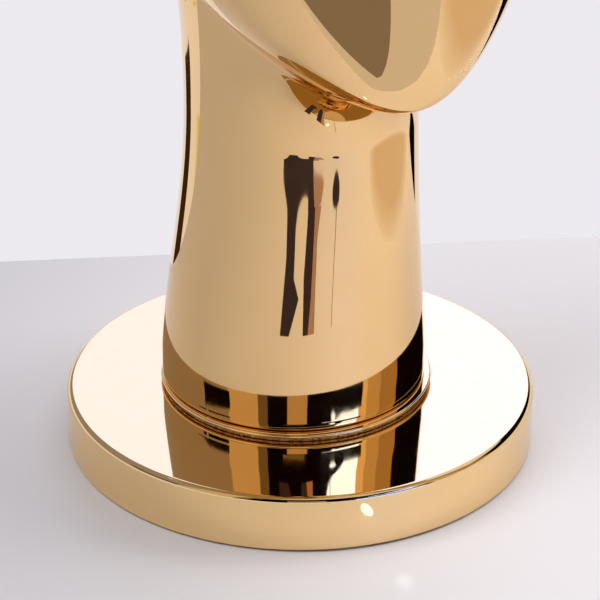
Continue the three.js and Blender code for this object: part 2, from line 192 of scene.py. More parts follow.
# A wave texture turns this many radians in each unit of its scale
WAVE_UNITS = 20


def new_material(name):
    """A material, its tree, its shader, and the place on the piece in metres."""
    material = bpy.data.materials.new(name)
    material.use_nodes = True
    tree = material.node_tree
    tree.nodes.clear()
    shader = node(tree, "ShaderNodeBsdfPrincipled")
    node(tree, "ShaderNodeOutputMaterial", links={"Surface": shader.outputs[0]})
    place = node(tree, "ShaderNodeTexCoord").outputs["Object"]
    return material, tree, shader, place


def gold_plated_steel():
    """Pressed steel, polished and gold plated: a sharp warm mirror with a trace of buffing haze."""
    material, tree, shader, place = new_material("gold_plated_steel")
    haze_settings = {"Scale": 1 / (9 * MM), "Detail": 2.0}
    haze = node(tree, "ShaderNodeTexNoise", haze_settings, {"Vector": place}).outputs["Fac"]
    tones = {"data_type": "RGBA", 6: linear("#F6D299"), 7: linear("#F8D69F")}
    tone = node(tree, "ShaderNodeMix", tones, {0: haze}).outputs[2]
    dulls = {**NOISE_SPAN, "To Min": 0.02, "To Max": 0.045}
    dull = node(tree, "ShaderNodeMapRange", dulls, {"Value": haze}).outputs[0]
    tree.links.new(tone, shader.inputs["Base Color"])
    tree.links.new(dull, shader.inputs["Roughness"])
    shader.inputs["Metallic"].default_value = 1.0
    return material


def gold_plated_resin():
    """Moulded resin, lacquered and gold plated in vacuum: a mirror with a faint long-wave ripple."""
    material, tree, shader, place = new_material("gold_plated_resin")
    haze_settings = {"Scale": 1 / (14 * MM), "Detail": 2.0}
    haze = node(tree, "ShaderNodeTexNoise", haze_settings, {"Vector": place}).outputs["Fac"]
    upright = node(tree, "ShaderNodeMapping", {"Scale": (1, 1, 0.6)}, {"Vector": place}).outputs[0]
    ripple_settings = {"Scale": 1 / (26 * MM), "Detail": 1.0}
    ripple = node(tree, "ShaderNodeTexNoise", ripple_settings, {"Vector": upright}).outputs["Fac"]
    tones = {"data_type": "RGBA", 6: linear("#F6CE92"), 7: linear("#F8D29A")}
    tone = node(tree, "ShaderNodeMix", tones, {0: haze}).outputs[2]
    dulls = {**NOISE_SPAN, "To Min": 0.02, "To Max": 0.05}
    dull = node(tree, "ShaderNodeMapRange", dulls, {"Value": haze}).outputs[0]
    relief = {"Strength": 1.0, "Distance": 0.05 * MM}
    wave = node(tree, "ShaderNodeBump", relief, {"Height": ripple}).outputs[0]
    tree.links.new(tone, shader.inputs["Base Color"])
    tree.links.new(dull, shader.inputs["Roughness"])
    tree.links.new(wave, shader.inputs["Normal"])
    shader.inputs["Metallic"].default_value = 1.0
    return material


def vulcanised_fibre():
    """A cut ring of vulcanised fibre under gold lacquer: coppery and ragged, painted paler than the fibre,
    its pale tufts painted glints, for light that the base's mirror top throws on it.
    """
    material, tree, shader, place = new_material("vulcanised_fibre")
    tuft_settings = {"Scale": 1 / (1.1 * MM), "Detail": 5.0}
    tuft = node(tree, "ShaderNodeTexNoise", tuft_settings, {"Vector": place}).outputs["Fac"]
    share = node(tree, "ShaderNodeMapRange", NOISE_SPAN, {"Value": tuft}).outputs[0]
    # Painted light: the pale tone is a painted glint on the tufts and stands in for light thrown up by the
    # mirrored base top
    tones = {"data_type": "RGBA", 6: linear("#6A3A18"), 7: linear("#F2BC74")}
    tone = node(tree, "ShaderNodeMix", tones, {0: share}).outputs[2]
    dulls = {**NOISE_SPAN, "To Min": 0.55, "To Max": 0.25}
    dull = node(tree, "ShaderNodeMapRange", dulls, {"Value": tuft}).outputs[0]
    relief = {"Strength": 1.0, "Distance": 0.45 * MM}
    rough = node(tree, "ShaderNodeBump", relief, {"Height": tuft}).outputs[0]
    tree.links.new(tone, shader.inputs["Base Color"])
    tree.links.new(dull, shader.inputs["Roughness"])
    tree.links.new(rough, shader.inputs["Normal"])
    shader.inputs["Metallic"].default_value = 0.7
    return material


def closed_cell_foam():
    """Die-cut closed-cell foam sheet: matt, near black, with fine pores; its near-black tone also serves as a
    painted shadow line under the base's foot.
    """
    material, tree, shader, place = new_material("closed_cell_foam")
    cells = node(tree, "ShaderNodeTexVoronoi", {"Scale": 1 / (0.9 * MM)}, {"Vector": place})
    pores = cells.outputs["Distance"]
    # The near-black tone is partly the foam's own colour and partly a painted shadow line under the base
    tones = {"data_type": "RGBA", 6: linear("#141414"), 7: linear("#2A2A2A")}
    tone = node(tree, "ShaderNodeMix", tones, {0: pores}).outputs[2]
    relief = {"Strength": 1.0, "Distance": 0.15 * MM}
    pitted = node(tree, "ShaderNodeBump", relief, {"Height": pores}).outputs[0]
    tree.links.new(tone, shader.inputs["Base Color"])
    tree.links.new(pitted, shader.inputs["Normal"])
    shader.inputs["Roughness"].default_value = 0.9
    return material


def primed_cast_iron():
    """Sand-cast iron under grey primer: pebbled and dull."""
    material, tree, shader, place = new_material("primed_cast_iron")
    sand_settings = {"Scale": 1 / (1.1 * MM), "Detail": 4.0}
    sand = node(tree, "ShaderNodeTexNoise", sand_settings, {"Vector": place}).outputs["Fac"]
    stain_settings = {"Scale": 1 / (22 * MM), "Detail": 2.0}
    stain = node(tree, "ShaderNodeTexNoise", stain_settings, {"Vector": place}).outputs["Fac"]
    tones = {"data_type": "RGBA", 6: linear("#383735"), 7: linear("#4B4845")}
    tone = node(tree, "ShaderNodeMix", tones, {0: stain}).outputs[2]
    relief = {"Strength": 1.0, "Distance": 0.3 * MM}
    pebbled = node(tree, "ShaderNodeBump", relief, {"Height": sand}).outputs[0]
    tree.links.new(tone, shader.inputs["Base Color"])
    tree.links.new(pebbled, shader.inputs["Normal"])
    shader.inputs["Metallic"].default_value = 0.3
    shader.inputs["Roughness"].default_value = 0.72
    return material


def zinc_plated_steel():
    """Turned and stamped steel, bright zinc plated: cool grey with a cloudy sheen."""
    material, tree, shader, place = new_material("zinc_plated_steel")
    cloud_settings = {"Scale": 1 / (4 * MM), "Detail": 3.0}
    cloud = node(tree, "ShaderNodeTexNoise", cloud_settings, {"Vector": place}).outputs["Fac"]
    tones = {"data_type": "RGBA", 6: linear("#AEB3B6"), 7: linear("#C9CBC8")}
    tone = node(tree, "ShaderNodeMix", tones, {0: cloud}).outputs[2]
    dulls = {**NOISE_SPAN, "To Min": 0.25, "To Max": 0.42}
    dull = node(tree, "ShaderNodeMapRange", dulls, {"Value": cloud}).outputs[0]
    tree.links.new(tone, shader.inputs["Base Color"])
    tree.links.new(dull, shader.inputs["Roughness"])
    shader.inputs["Metallic"].default_value = 1.0
    return material


def natural_nylon():
    """Turned natural nylon: milky, with faint tool marks round the axis."""
    material, tree, shader, place = new_material("natural_nylon")
    round_axis = node(tree, "ShaderNodeMapping", {"Scale": (0.05, 0.05, 1)}, {"Vector": place}).outputs[0]
    mark_settings = {"Scale": 1 / (0.6 * MM), "Detail": 2.0}
    marks = node(tree, "ShaderNodeTexNoise", mark_settings, {"Vector": round_axis}).outputs["Fac"]
    tones = {"data_type": "RGBA", 6: linear("#E4DFD0"), 7: linear("#F0ECE0")}
    tone = node(tree, "ShaderNodeMix", tones, {0: marks}).outputs[2]
    relief = {"Strength": 1.0, "Distance": 0.02 * MM}
    grooved = node(tree, "ShaderNodeBump", relief, {"Height": marks}).outputs[0]
    tree.links.new(tone, shader.inputs["Base Color"])
    tree.links.new(grooved, shader.inputs["Normal"])
    shader.inputs["Roughness"].default_value = 0.42
    shader.inputs["Subsurface Weight"].default_value = 0.1
    return material


def birch_plywood():
    """Sawn birch plywood: pale and dark plies 1.4 mm thick, with fibres along each ply."""
    material, tree, shader, place = new_material("birch_plywood")
    ply_settings = {"wave_type": "BANDS", "bands_direction": "Z", "Distortion": 0.6}
    ply_settings["Scale"] = 1 / (WAVE_UNITS * 1.4 * MM)
    plies = node(tree, "ShaderNodeTexWave", ply_settings, {"Vector": place}).outputs["Fac"]
    along = node(tree, "ShaderNodeMapping", {"Scale": (0.15, 1, 1)}, {"Vector": place}).outputs[0]
    fibre_settings = {"Scale": 1 / (2.5 * MM), "Detail": 4.0}
    fibres = node(tree, "ShaderNodeTexNoise", fibre_settings, {"Vector": along}).outputs["Fac"]
    tones = {"data_type": "RGBA", 6: linear("#A97F4B"), 7: linear("#D8B885")}
    tone = node(tree, "ShaderNodeMix", tones, {0: plies}).outputs[2]
    relief = {"Strength": 1.0, "Distance": 0.1 * MM}
    sawn = node(tree, "ShaderNodeBump", relief, {"Height": fibres}).outputs[0]
    tree.links.new(tone, shader.inputs["Base Color"])
    tree.links.new(sawn, shader.inputs["Normal"])
    shader.inputs["Roughness"].default_value = 0.75
    return material


def laminating_resin():
    """Cured polyester resin over chopped glass: amber, uneven and shiny."""
    material, tree, shader, place = new_material("laminating_resin")
    across = node(tree, "ShaderNodeMapping", {"Scale": (1, 0.25, 1)}, {"Vector": place}).outputs[0]
    strand_settings = {"Scale": 1 / (3 * MM), "Detail": 3.0}
    strands = node(tree, "ShaderNodeTexNoise", strand_settings, {"Vector": across}).outputs["Fac"]
    tones = {"data_type": "RGBA", 6: linear("#8A7440"), 7: linear("#B8A468")}
    tone = node(tree, "ShaderNodeMix", tones, {0: strands}).outputs[2]
    relief = {"Strength": 1.0, "Distance": 0.25 * MM}
    uneven = node(tree, "ShaderNodeBump", relief, {"Height": strands}).outputs[0]
    tree.links.new(tone, shader.inputs["Base Color"])
    tree.links.new(uneven, shader.inputs["Normal"])
    shader.inputs["Roughness"].default_value = 0.3
    return material


# The skin's surface: an egg and a flared neck that run into each other.
# Points are arrays of x, y, z from the pivot's axis and the base's top face.


def ease(share):
    t = np.clip(share, 0, 1)
    return t * t * t * (t * (t * 6 - 15) + 10)


def neck_forward(height):
    return NECK_LEAN * ease(height / NECK_LEAN_HEIGHT) - NECK_FOOT_BACK


def neck_radius(height):
    nape = NAPE_FLARE * (np.maximum(height - NAPE_FLARE_START, 0) / NAPE_FLARE_RISE) ** 2
    fade = NECK_WAIST_RADIUS * (np.maximum(height - NECK_FADE_START, 0) / NECK_FADE_RISE) ** 2
    share = np.clip((height - NECK_FLARE_START) / NECK_FLARE_RISE, 0, 1)
    flared = NECK_WAIST_RADIUS + NECK_FLARE * (1 - share * share * (3 - 2 * share))
    wall = (flared + NECK_FOOT_RADIUS - np.hypot(flared - NECK_FOOT_RADIUS, NECK_FLARE_BLEND)) / 2
    return wall + nape - fade


def egg_depth(p):
    forward = -p[..., 1] - HEAD_FORWARD
    up = p[..., 2] - HEAD_HEIGHT
    along = (up * math.cos(HEAD_TILT) - forward * math.sin(HEAD_TILT)) / HEAD_HALF_LENGTH
    across = up * math.sin(HEAD_TILT) + forward * math.cos(HEAD_TILT)
    t = np.clip(along, -1, 1)
    width = HEAD_HALF_WIDTH * (1 + WIDTH_SWELL_SHARE * t - WIDTH_TAPER_SHARE * t * t)
    depth = HEAD_HALF_DEPTH * (1 + DEPTH_SWELL_SHARE * t - DEPTH_TAPER_SHARE * t * t)
    parts = np.stack([along, p[..., 0] / width, across / depth], -1)
    span = np.linalg.norm(parts, axis=-1)
    halves = np.stack([np.full_like(width, HEAD_HALF_LENGTH), width, depth], -1)
    return span * (span - 1) / np.linalg.norm(parts / halves, axis=-1)


def neck_depth(p):
    height = p[..., 2]
    ahead = -p[..., 1] - neck_forward(height)
    outward = np.hypot(p[..., 0], ahead)
    facing = np.maximum(ahead, 0) / np.maximum(outward, MM)
    rise = np.clip((height - THROAT_FLARE_START) / THROAT_FLARE_RISE, 0, THROAT_FLARE_LIMIT)
    return outward - neck_radius(height) - THROAT_FLARE * rise ** 2 * facing ** THROAT_NARROWNESS


def skin_depth(p):
    """Roughly the distance outside the skin, negative inside."""
    egg = egg_depth(p)
    neck = neck_depth(p)
    back = ease((p[..., 1] + JOIN_TURN_START) / JOIN_TURN_WIDTH)
    join = CHIN_JOIN + (NAPE_JOIN - CHIN_JOIN) * back
    near = np.maximum(join - np.abs(egg - neck), 0) / join
    return np.minimum(egg, neck) - near ** 3 * join / 6


def skin_normal(p):
    steps = SLOPE_STEP * np.eye(3)
    slopes = [skin_depth(p + step) - skin_depth(p - step) for step in steps]
    normal = np.stack(slopes, -1)
    return normal / np.linalg.norm(normal, axis=-1, keepdims=True)


def skin_points(start, directions, depth):
    """Where rays from start reach the given depth under the skin."""
    near = np.zeros(directions.shape[:-1])
    far = np.full(near.shape, HEAD_HALF_WIDTH + HEAD_HALF_DEPTH + HEAD_HALF_LENGTH)
    for _ in range(ROOT_STEPS):
        middle = (near + far) / 2
        inside = skin_depth(start + directions * middle[..., None]) < -depth
        near = np.where(inside, middle, near)
        far = np.where(inside, far, middle)
    return start + directions * near[..., None]


def neck_ring(height, tilt, depth):
    """A ring of skin points round the neck, in a plane tilted down to the front."""
    centre = np.array([0, -neck_forward(height), height])
    front = np.array([0, -math.cos(tilt), -math.sin(tilt)])
    side = np.array([1, 0, 0])
    turn = np.linspace(0, 2 * math.pi, SECTORS, endpoint=False)[:, None]
    return skin_points(centre, front * np.cos(turn) + side * np.sin(turn), depth)


def foot_rings():
    """The rounded foot of the neck, drawn in from the wall."""
    rings = []
    centre = np.array([0, -neck_forward(NECK_FOOT), 0])
    for step in range(FOOT_ROUND_STEPS):
        angle = QUARTER * step / FOOT_ROUND_STEPS
        height = NECK_FOOT + NECK_FOOT_ROUND * (1 - math.cos(angle))
        ring = neck_ring(height, 0, SKIN_ALLOWANCE)
        out = (ring - centre) * [1, 1, 0]
        inset = NECK_FOOT_ROUND * (1 - math.sin(angle))
        rings.append(ring - out * inset / np.linalg.norm(out, axis=1, keepdims=True))
    return rings


def wall_rings(bottom, depth, count):
    rings = []
    for step in range(count + 1):
        share = 1 - (1 - step / count) ** CREASE_CROWDING
        height = bottom + (CREASE_HEIGHT - bottom) * share
        rings.append(neck_ring(height, RING_TILT * ease(share), depth))
    return rings


def dome_rings(depth, count):
    """Rings of the head, on rays from the core that swing from the crease up to the crown."""
    core = np.array([0, -CORE_FORWARD, CORE_HEIGHT])
    crown = np.array([0, -math.sin(RING_TILT), math.cos(RING_TILT)])
    rays = neck_ring(CREASE_HEIGHT, RING_TILT, depth) - core
    rays /= np.linalg.norm(rays, axis=1, keepdims=True)
    angle = np.arccos(np.clip(rays @ crown, -1, 1))[:, None]
    rings = []
    for step in range(1, count):
        share = (step / count) ** CREASE_CROWDING
        swung = rays * np.sin((1 - share) * angle) + crown * np.sin(share * angle)
        swung /= np.linalg.norm(swung, axis=1, keepdims=True)
        rings.append(skin_points(core, swung, depth))
    return rings, skin_points(core, crown[None], depth)


def skin_mesh():
    """The closed skin: rings up the outside to the crown, and down the inside to the foot."""
    dome, crown = dome_rings(SKIN_ALLOWANCE, DOME_RINGS)
    wall = wall_rings(NECK_FOOT + NECK_FOOT_ROUND, SKIN_ALLOWANCE, WALL_RINGS)
    outer = foot_rings() + wall + dome
    inner_dome, inner_crown = dome_rings(SKIN_WALL, INNER_DOME_RINGS)
    inner = wall_rings(NECK_FOOT, SKIN_WALL, INNER_WALL_RINGS) + inner_dome
    rings = inner[::-1] + outer
    points = np.concatenate(rings + [inner_crown, crown])
    ends = len(points) - 2, len(points) - 1
    here = np.arange(SECTORS)
    after = (here + 1) % SECTORS
    faces = [[ends[0], b, a] for a, b in zip(here, after)]
    for low in range(0, (len(rings) - 1) * SECTORS, SECTORS):
        high = low + SECTORS
        faces += [[low + a, low + b, high + b, high + a] for a, b in zip(here, after)]
    faces += [[ends[1], high + a, high + b] for a, b in zip(here, after)]
    return points, faces


def skin_half(name, body, points, faces, side, material):
    """The half of the skin before or behind the parting plane, with the cut closed."""
    mesh = bpy.data.meshes.new(name)
    mesh.from_pydata(points.tolist(), [], faces)
    work = bmesh.new()
    work.from_mesh(mesh)
    geometry = list(work.verts) + list(work.edges) + list(work.faces)
    plane = {"plane_co": (0, PARTING_Y, 0), "plane_no": (0, side, 0)}
    cut = bmesh.ops.bisect_plane(work, geom=geometry, dist=CUT_REACH, clear_outer=True, **plane)
    rim = [e for e in cut["geom_cut"] if isinstance(e, bmesh.types.BMEdge)]
    cap = bmesh.ops.triangle_fill(work, edges=rim, use_beauty=False, normal=(0, side, 0))
    capped = {f for f in cap["geom"] if isinstance(f, bmesh.types.BMFace)}
    flags = [f in capped for f in work.faces]
    work.to_mesh(mesh)
    work.free()
    mesh.shade_smooth()
    set_skin_normals(mesh, np.array(flags))
    mesh.transform(Matrix.Translation((0, PIVOT_Y, BASE_TOP)))
    mesh.materials.append(material)
    return new_piece(name, mesh, body)


def set_skin_normals(mesh, flat):
    """Gives the skin the surface's own normals, and leaves the foot and the cut as they are."""
    count = len(mesh.vertices)
    points = np.empty(count * 3)
    mesh.vertices.foreach_get("co", points)
    points = points.reshape(-1, 3)
    drawn = np.empty(count * 3)
    mesh.vertex_normals.foreach_get("vector", drawn)
    drawn = drawn.reshape(-1, 3)
    true = skin_normal(points)
    turned_in = np.sum(true * drawn, axis=1) < 0
    true[turned_in] *= -1
    near_foot = points[:, 2] < NECK_FOOT + NECK_FOOT_ROUND * FOOT_REACH
    true[near_foot] = drawn[near_foot]
    corners = np.empty(len(mesh.loops), int)
    mesh.loops.foreach_get("vertex_index", corners)
    sizes = np.empty(len(mesh.polygons), int)
    mesh.polygons.foreach_get("loop_total", sizes)
    faces = np.empty(len(mesh.polygons) * 3)
    mesh.polygon_normals.foreach_get("vector", faces)
    normals = true[corners]
    on_cut = np.repeat(flat, sizes)
    normals[on_cut] = np.repeat(faces.reshape(-1, 3), sizes, axis=0)[on_cut]
    mesh.normals_split_custom_set(normals.tolist())


# Pieces


def new_piece(name, mesh, body):
    piece = bpy.data.objects.new(name, mesh)
    bpy.context.scene.collection.objects.link(piece)
    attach(piece, body)
    return piece


def outline_mesh(name, points, closed):
    """A profile as a chain of edges: x is the radius, y the height."""
    mesh = bpy.data.meshes.new(name)
    count = len(points)
    edges = [(i, (i + 1) % count) for i in range(count if closed else count - 1)]
    mesh.from_pydata([(x, y, 0) for x, y in points], edges, [])
    return mesh


def corner(radius, height, round_radius, start, end, steps=ROUND_STEPS):
    """A rounded corner of a profile about its centre."""
    angles = [start + (end - start) * i / steps for i in range(steps + 1)]
    return [(radius + round_radius * math.cos(a), height + round_radius * math.sin(a)) for a in angles]


def new_tree(name, sockets):
    tree = bpy.data.node_groups.new(name, "GeometryNodeTree")
    tree.interface.new_socket("Geometry", in_out="OUTPUT", socket_type="NodeSocketGeometry")
    tree.interface.new_socket("Geometry", in_out="INPUT", socket_type="NodeSocketGeometry")
    for label, kind in sockets:
        tree.interface.new_socket(label, in_out="INPUT", socket_type="NodeSocket" + kind)
    return tree, tree.nodes.new("NodeGroupInput")


def turning_tree():
    """A tree that turns a profile round the upright axis, with its bore set off to one side."""
    sockets = [("Sides", "Int"), ("Radius", "Float"), ("Bore", "Float"), ("Bore Shift", "Float")]
    sockets += [("Shift Reach", "Float"), ("Ragged", "Float"), ("Tuft", "Float"), ("Material", "Material")]
    tree, given = new_tree("turned_profile", sockets)
    given = given.outputs
    profile = node(tree, "GeometryNodeMeshToCurve", links={"Mesh": given["Geometry"]})
    rail_links = {"Resolution": given["Sides"], "Radius": given["Radius"]}
    rail = node(tree, "GeometryNodeCurvePrimitiveCircle", {"mode": "RADIUS"}, rail_links)
    swept_links = {"Curve": rail.outputs["Curve"], "Profile Curve": profile.outputs["Curve"]}
    swept = node(tree, "GeometryNodeCurveToMesh", links=swept_links)
    merged_links = {"Geometry": swept.outputs["Mesh"]}
    merged = node(tree, "GeometryNodeMergeByDistance", {"Distance": MERGE_REACH}, merged_links)
    place = node(tree, "GeometryNodeInputPosition").outputs[0]
    flat = node(tree, "ShaderNodeVectorMath", {"operation": "MULTIPLY", 1: (1, 1, 0)}, {0: place}).outputs[0]
    reach = node(tree, "ShaderNodeVectorMath", {"operation": "LENGTH"}, {0: flat}).outputs["Value"]
    fall_links = {"Value": reach, "From Min": given["Bore"], "From Max": given["Shift Reach"]}
    fall_links["To Min"] = given["Bore Shift"]
    fall = node(tree, "ShaderNodeMapRange", {"interpolation_type": "SMOOTHSTEP", "To Max": 0.0}, fall_links)
    shift = node(tree, "ShaderNodeCombineXYZ", links={"Y": fall.outputs[0]}).outputs[0]
    fineness = node(tree, "ShaderNodeMath", {"operation": "DIVIDE", 0: 1.0}, {1: given["Tuft"]}).outputs[0]
    noise_links = {"Vector": place, "Scale": fineness}
    noise = node(tree, "ShaderNodeTexNoise", {"Detail": 3.0}, noise_links).outputs["Fac"]
    inward_links = {0: noise, 1: given["Ragged"]}
    inward = node(tree, "ShaderNodeMath", {"operation": "MULTIPLY"}, inward_links).outputs[0]
    minus = node(tree, "ShaderNodeMath", {"operation": "MULTIPLY", 1: -1.0}, {0: inward}).outputs[0]
    out = node(tree, "ShaderNodeVectorMath", {"operation": "NORMALIZE"}, {0: flat}).outputs[0]
    ragged = node(tree, "ShaderNodeVectorMath", {"operation": "SCALE"}, {0: out, "Scale": minus}).outputs[0]
    both = node(tree, "ShaderNodeVectorMath", {"operation": "ADD"}, {0: shift, 1: ragged}).outputs[0]
    moved_links = {"Geometry": merged.outputs[0], "Offset": both}
    moved = node(tree, "GeometryNodeSetPosition", links=moved_links).outputs[0]
    bend = node(tree, "GeometryNodeInputMeshEdgeAngle").outputs["Unsigned Angle"]
    sharp = node(tree, "ShaderNodeMath", {"operation": "GREATER_THAN", 1: SHARP_ANGLE}, {0: bend}).outputs[0]
    smooth = node(tree, "GeometryNodeSetShadeSmooth", {"domain": "FACE"}, {"Geometry": moved}).outputs[0]
    edged_settings = {"domain": "EDGE", "Shade Smooth": False}
    edged = node(tree, "GeometryNodeSetShadeSmooth", edged_settings, {"Geometry": smooth, "Selection": sharp})
    whole = node(tree, "GeometryNodeRealizeInstances", links={"Geometry": edged.outputs[0]}).outputs[0]
    painted_links = {"Geometry": whole, "Material": given["Material"]}
    painted = node(tree, "GeometryNodeSetMaterial", links=painted_links)
    node(tree, "NodeGroupOutput", links={"Geometry": painted.outputs[0]})
    return tree


def grown(name, seed_mesh, tree, values):
    """Runs a tree on a mesh, and returns the result as a plain mesh with even flat faces."""
    seed = bpy.data.objects.new(name + "_seed", seed_mesh)
    bpy.context.scene.collection.objects.link(seed)
    shaper = seed.modifiers.new("shape", "NODES")
    shaper.node_group = tree
    for item in tree.interface.items_tree:
        if item.in_out == "INPUT" and item.name in values:
            shaper[item.identifier] = values[item.name]
    evener = seed.modifiers.new("even", "WEIGHTED_NORMAL")
    evener.keep_sharp = True
    evener.weight = 100
    graph = bpy.context.evaluated_depsgraph_get()
    ready = seed.evaluated_get(graph)
    mesh = bpy.data.meshes.new_from_object(ready, preserve_all_data_layers=True, depsgraph=graph)
    mesh.name = name
    bpy.data.objects.remove(seed)
    return mesh


TURNED = turning_tree()


def turned_piece(name, profile, closed, sides, material, centre_y=0.0, **extra):
    """A turned mesh: the profile's points are radius and height, about an axis at centre_y."""
    radius = max(r for r, _ in profile)
    local = [(r - radius, -z) for r, z in profile]
    values = {"Sides": sides, "Radius": radius, "Bore": 0.0, "Bore Shift": 0.0, "Shift Reach": radius}
    values.update({"Ragged": 0.0, "Tuft": GLIDE_TUFT, "Material": material})
    values.update(extra)
    mesh = grown(name, outline_mesh(name + "_profile", local, closed), TURNED, values)
    mesh.transform(Matrix.Translation((0, centre_y, 0)))
    return mesh


def base_cover(material):
    """The cover, its top edge rolled, its wall straight, hollow below."""
    top, foot = BASE_TOP, COVER_LOW.z
    profile = [(BUSH_HOLE, top)]
    profile += corner(BASE_RADIUS - COVER_TOP_ROUND, top - COVER_TOP_ROUND, COVER_TOP_ROUND, QUARTER, 0)
    profile += corner(BASE_RADIUS - COVER_FOOT_ROUND, foot + COVER_FOOT_ROUND, COVER_FOOT_ROUND, 0, -QUARTER)
    profile += [(BASE_RADIUS - COVER_WALL, foot), (BASE_RADIUS - COVER_WALL, top - COVER_WALL)]
    profile += [(BUSH_HOLE, top - COVER_WALL)]
    extra = {"Bore": BUSH_HOLE, "Bore Shift": PIVOT_Y, "Shift Reach": BUSH_HOLE_SPREAD}
    mesh = turned_piece("base_cover_shell", profile, True, BASE_SIDES, material, **extra)
    piece = new_piece("base_cover_shell", mesh, "base")
    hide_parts("base_cover")


def neck_rim(material):
    """The bright ring under the neck, its outer edge rolled."""
    radius = (RIM_HIGH.x - RIM_LOW.x) / 2
    low, high = RIM_LOW.z, RIM_HIGH.z
    profile = [(RIM_BORE, high)]
    profile += corner(radius - RIM_ROUND, high - RIM_ROUND, RIM_ROUND, QUARTER, 0)
    profile += corner(radius - RIM_ROUND, low + RIM_ROUND, RIM_ROUND, 0, -QUARTER)
    profile += [(RIM_BORE, low)]
    mesh = turned_piece("neck_rim_ring", profile, True, BASE_SIDES, material, PIVOT_Y)
    piece = new_piece("neck_rim_ring", mesh, "head")
    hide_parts("neck_rim")


def glide_ring(material):
    """The fibre ring between base and rim, its cut edge ragged."""
    radius = (GLIDE_HIGH.x - GLIDE_LOW.x) / 2
    low, high = GLIDE_LOW.z, GLIDE_HIGH.z
    inner, top, bottom = radius - GLIDE_ROUND, high - GLIDE_ROUND, low + GLIDE_ROUND
    profile = [(GLIDE_BORE, high)]
    profile += corner(inner, top, GLIDE_ROUND, QUARTER, 0, GLIDE_ROUND_STEPS)
    wall = np.linspace(top, bottom, GLIDE_WALL_STEPS + 1)[1:-1]
    profile += [(radius, float(height)) for height in wall]
    profile += corner(inner, bottom, GLIDE_ROUND, 0, -QUARTER, GLIDE_ROUND_STEPS)
    profile += [(GLIDE_BORE, low)]
    extra = {"Ragged": GLIDE_RAGGEDNESS}
    mesh = turned_piece("fibre_glide_ring", profile, True, GLIDE_SIDES, material, PIVOT_Y, **extra)
    piece = new_piece("fibre_glide_ring", mesh, "base")
    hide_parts("glide_ring")


def base_pad(material):
    """The die-cut foam disc that the base stands on."""
    radius, low, high = PAD_HIGH.x, PAD_LOW.z, PAD_HIGH.z
    profile = [(0, high)]
    profile += corner(radius - PAD_ROUND, high - PAD_ROUND, PAD_ROUND, QUARTER, 0, PAD_ROUND_STEPS)
    profile += corner(radius - PAD_ROUND, low + PAD_ROUND, PAD_ROUND, 0, -QUARTER, PAD_ROUND_STEPS)
    profile += [(0, low)]
    mesh = turned_piece("foam_base_pad", profile, False, BASE_SIDES, material)
    piece = new_piece("foam_base_pad", mesh, "base")
    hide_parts("base_pad")


def finish_inner_nodes():
    """The hidden pieces keep their frame meshes and get their real finishes."""
    finishes = {
        primed_cast_iron(): ["base_weight"],
        zinc_plated_steel(): ["base_bottom_plate", "bottom_plate_screw_", "bush_ring_nut", "pivot_bolt",
                              "spring_washer", "hub_flange", "hub_screw_", "lock_nut"],
        natural_nylon(): ["pivot_bush", "thrust_washer"],
        birch_plywood(): ["neck_plug"],
        laminating_resin(): ["resin_fillet", "seam_lap_strip"],
    }
    for material, starts in finishes.items():
        for name, piece in frame["nodes"].items():
            if name.startswith(tuple(starts)):
                piece.data.materials.clear()
                piece.data.materials.append(material)


# Stage and light. Places are given to the right of and in front of the base's axis, as the camera looks.

TABLE_BACK = 192 * MM
TABLE_FRONT = 900 * MM
TABLE_SIDE = 1300 * MM
TABLE_THICKNESS = 30 * MM
TABLE_EDGE_ROUND = 4 * MM
TABLE_EDGE_STEPS = 4
TABLE_TURN = math.radians(5.8)
# Painted shade on the paper: a tone ramp that stands in for the lamps' fall-off, darker to the left
PAINTED_SHADE_SLANT = 0.2
PAINTED_SHADE_START = -330 * MM
PAINTED_SHADE_END = 120 * MM


def stage_point(right, front, height):
    a = VIEW_AZIMUTH
    x = right * math.cos(a) + front * math.sin(a)
    y = right * math.sin(a) - front * math.cos(a)
    return Vector((x, y, height))


def stage_object(name, points, faces, material):
    mesh = bpy.data.meshes.new(name)
    mesh.from_pydata(points, [], faces)
    mesh.materials.append(material)
    made = bpy.data.objects.new(name, mesh)
    bpy.context.scene.collection.objects.link(made)
    return made


